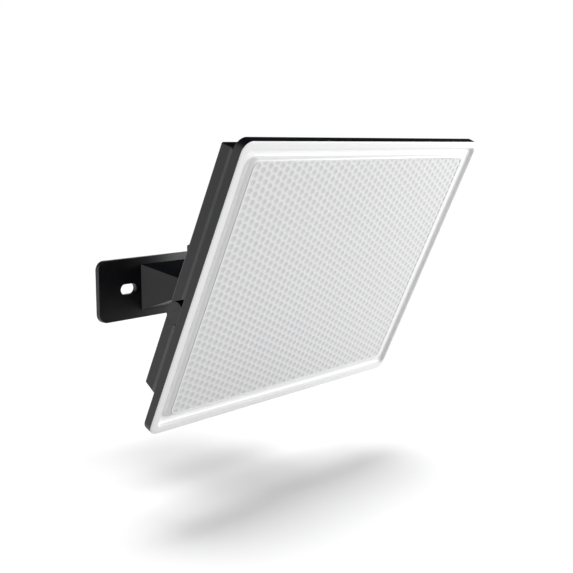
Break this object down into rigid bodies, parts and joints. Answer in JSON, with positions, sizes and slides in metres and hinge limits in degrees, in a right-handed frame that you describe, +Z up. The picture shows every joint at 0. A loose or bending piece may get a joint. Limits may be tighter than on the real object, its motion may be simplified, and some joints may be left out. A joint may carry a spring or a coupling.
{
  "type": "led flood light",
  "caption": "Slim rectangular LED flood light on a tilting arm with a slotted wall plate; black body and a white prismatic front cover",
  "frame": {"origin": "in the wall plane, at the centre of the wall plate and of its two slotted holes", "axes": "+X along the wall, level; +Y into the wall; +Z up. The light shines toward -Y and down."},
  "size_m": [0.2216, 0.1677, 0.1611],
  "materials": {
    "black_coat": "black powder coat, satin, on cast aluminium",
    "steel": "stainless steel",
    "black_plastic": "moulded black plastic",
    "white_plastic": "translucent white plastic with a fine cell pattern",
    "seal": "silicone rubber",
    "white_sheet": "diffuse white film",
    "clear_acrylic": "clear acrylic sheet",
    "white_board": "white solder mask",
    "phosphor": "yellow phosphor over LED dies",
    "green_board": "green solder mask",
    "can_metal": "drawn aluminium can",
    "grey_plastic": "moulded grey plastic"
  },
  "bodies": {
    "bracket": {"wall_bracket": "black_coat"},
    "arm": {"swivel_arm": "black_coat", "swivel_bolt": "steel", "swivel_nut": "steel", "swivel_washers": "steel", "swivel_cap": "black_plastic"},
    "head": {"head_tray": "black_coat", "front_cover": "white_plastic", "cover_gasket": "seal", "reflector_sheet": "white_sheet", "light_guide": "clear_acrylic", "led_strips": "white_board", "led_chips": "phosphor", "rear_housing": "black_coat", "housing_screws": "steel", "hinge_barrel_left": "black_coat", "hinge_barrel_right": "black_coat", "barrel_screws": "steel", "tilt_rod": "steel", "tilt_nuts": "steel", "tilt_washers": "steel", "barrel_end_caps": "black_plastic", "driver_board": "green_board", "driver_capacitors": "can_metal", "driver_inductor": "grey_plastic", "driver_chips": "black_plastic", "terminal_block": "grey_plastic", "driver_screws": "steel", "cable_gland": "black_plastic", "vent_plug": "black_plastic"}
  },
  "joints": [
    {"name": "arm_swivel", "type": "hinge", "parent": "bracket", "child": "arm", "pos_m": [0, -0.044, 0], "axis": [0, 0, 1], "range_deg": [-25, 25]},
    {"name": "head_tilt", "type": "hinge", "parent": "arm", "child": "head", "pos_m": [0, -0.11547, 0.00544], "axis": [1, 0, 0], "range_deg": [-54, 35]}
  ]
}
